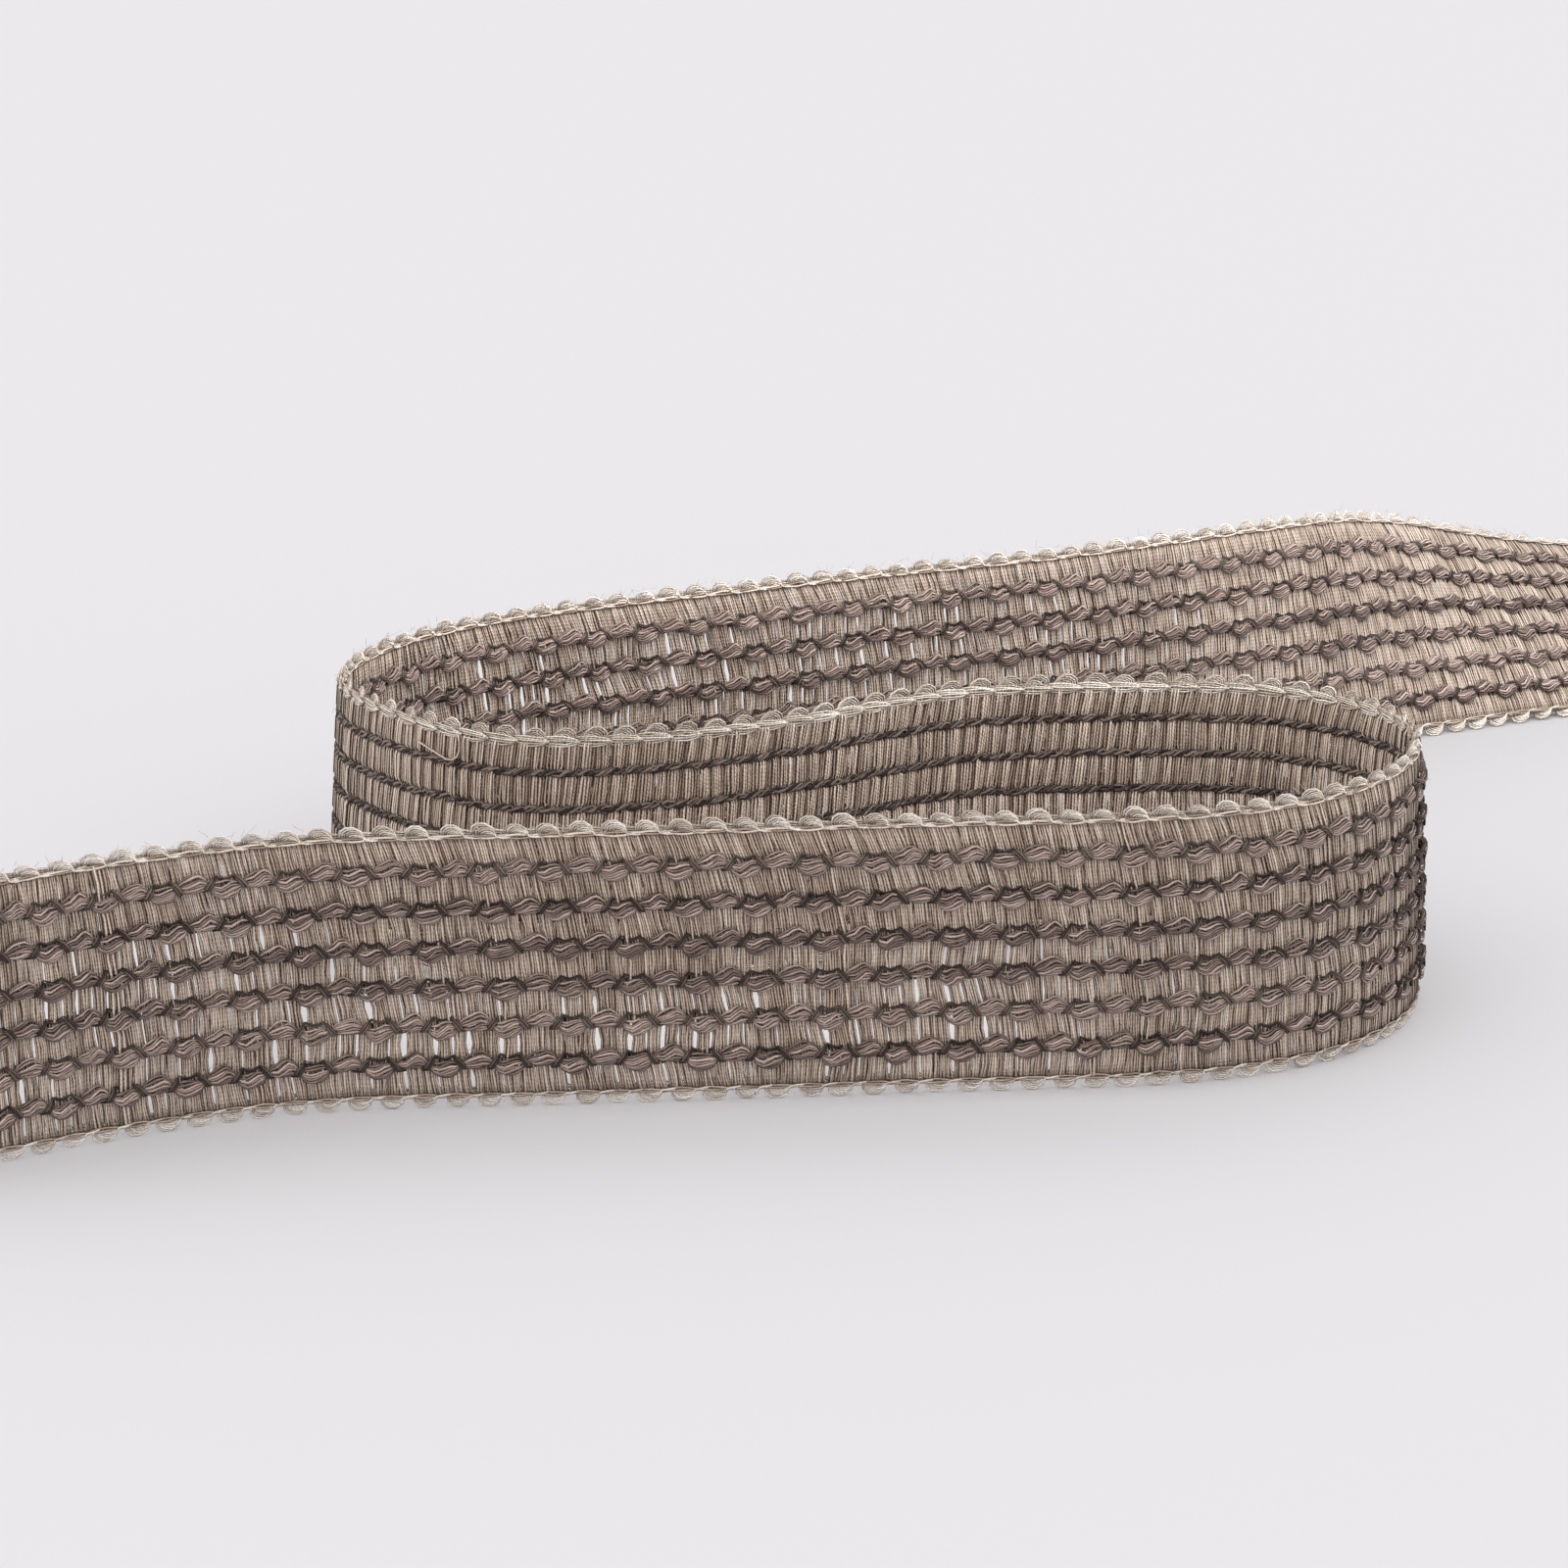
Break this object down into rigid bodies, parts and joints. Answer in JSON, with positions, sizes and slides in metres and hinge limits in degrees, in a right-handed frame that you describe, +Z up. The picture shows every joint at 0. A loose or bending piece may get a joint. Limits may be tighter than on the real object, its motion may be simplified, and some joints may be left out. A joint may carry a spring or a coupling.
{
  "type": "woven braid trim",
  "caption": "Woven linen braid trim with raised cord rows and looped edges, a cut length standing on its long edge in a loose S.",
  "frame": {"origin": "centre of the bounding box on the surface that the braid stands on", "axes": "+X to the viewer's right along the longest run of the folds, +Y away from the viewer, +Z up across the braid's width"},
  "size_m": [0.263, 0.2348, 0.038],
  "materials": {
    "linen_braid": "matt natural linen with taupe cords and dark brown tie stitches"
  },
  "bodies": {
    "root": {"braid_band": "linen_braid"}
  },
  "joints": []
}
